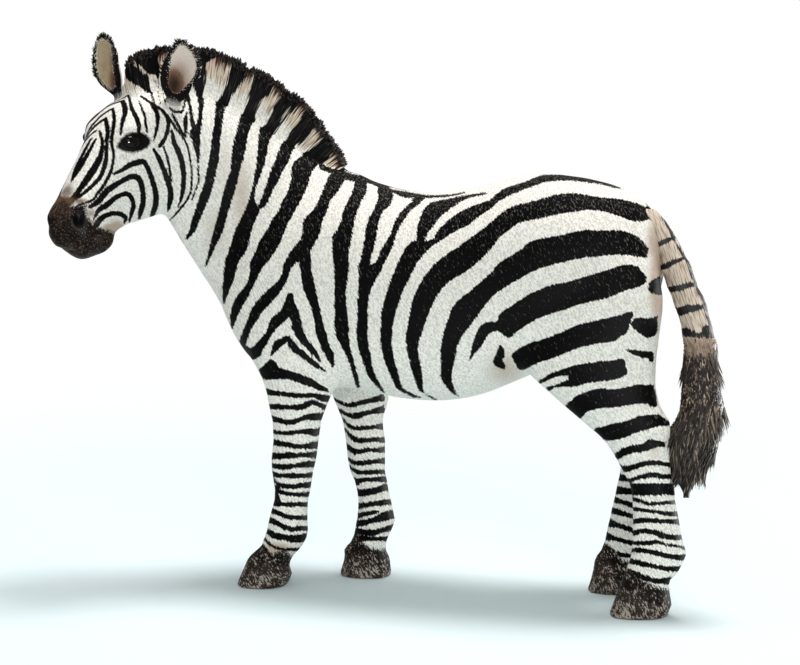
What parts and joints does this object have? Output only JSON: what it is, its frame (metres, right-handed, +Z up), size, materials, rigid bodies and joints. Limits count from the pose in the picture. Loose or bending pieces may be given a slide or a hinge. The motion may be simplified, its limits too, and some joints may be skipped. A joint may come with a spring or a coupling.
{
  "type": "toy zebra figure",
  "caption": "Standing toy zebra with its head turned to its left, upright mane and hanging tail, for pretend play; it stands free on its hooves.",
  "frame": {"origin": "middle of the overall box, on the ground that the soles stand on", "axes": "+X to the animal's front, +Y to its left, +Z up"},
  "size_m": [0.1106, 0.039, 0.0925],
  "materials": {
    "torso": "matte white with black painted stripes over a fine short-hair relief",
    "neck_and_head": "matte white with black painted stripes, dark brown muzzle and glossy black eyes",
    "mane": "matte black and cream hair with brown tips",
    "left_ear": "matte cream to brown inside, black rim with pale hair tips",
    "right_ear": "matte tan inside, black rim with pale hair tips",
    "front_left_leg": "matte white with black painted rings, dark brown hoof",
    "front_right_leg": "matte white with black painted rings, dark brown hoof",
    "hind_left_leg": "matte white with black painted rings, dark brown hoof",
    "hind_right_leg": "matte white with black painted rings, dark brown hoof",
    "tail": "matte tan dock with black bands, dark brown tuft"
  },
  "bodies": {
    "root": {"torso": "torso", "neck_and_head": "neck_and_head", "mane": "mane", "left_ear": "left_ear", "right_ear": "right_ear", "front_left_leg": "front_left_leg", "front_right_leg": "front_right_leg", "hind_left_leg": "hind_left_leg", "hind_right_leg": "hind_right_leg", "tail": "tail"}
  },
  "joints": []
}
